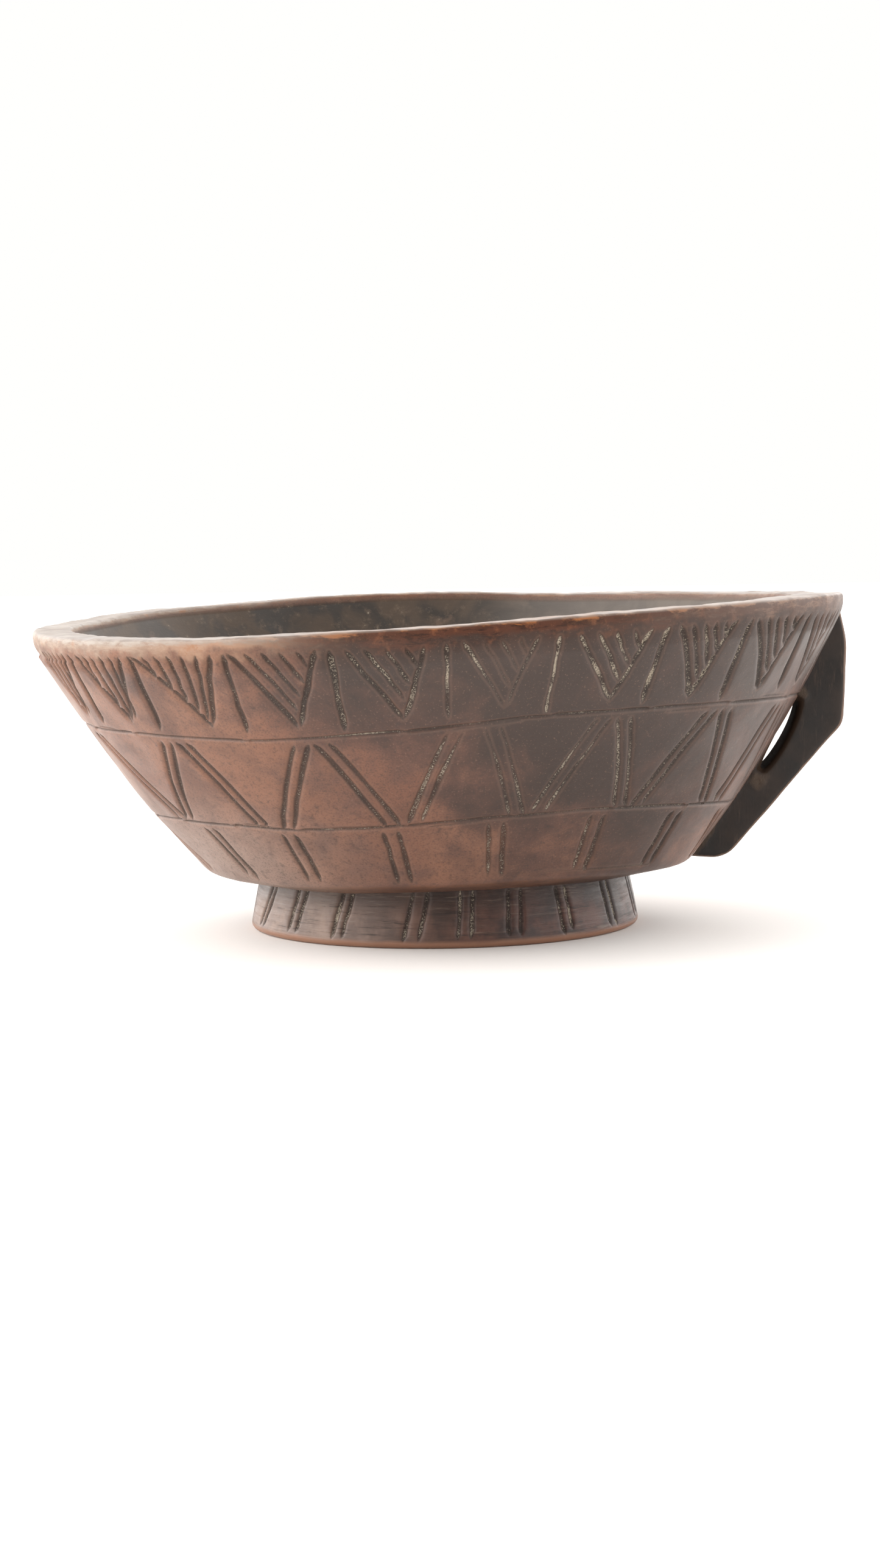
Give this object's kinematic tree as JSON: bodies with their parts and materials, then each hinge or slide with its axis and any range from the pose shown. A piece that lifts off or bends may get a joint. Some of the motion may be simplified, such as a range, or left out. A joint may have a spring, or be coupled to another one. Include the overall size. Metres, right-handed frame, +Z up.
{
  "type": "carved wooden bowl",
  "caption": "Round hand-carved wooden food bowl with sloping incised walls, a low flared foot and an upright lug handle pierced by a narrow cord slot.",
  "frame": {"origin": "centre of the foot's flat underside, which the bowl stands on", "axes": "+Z up; +X from the foot's centre towards the lug handle; -Y is the side that the picture shows"},
  "size_m": [0.3012, 0.3, 0.1218],
  "materials": {
    "oiled_wood": "hand-rubbed, semi-gloss, with dark smoky patches",
    "foot_wood": "dark, semi-gloss, with fine tool marks",
    "smoked_wood": "near-black, satin"
  },
  "bodies": {
    "root": {"vessel": "oiled_wood", "foot": "foot_wood", "handle": "smoked_wood"}
  },
  "joints": []
}
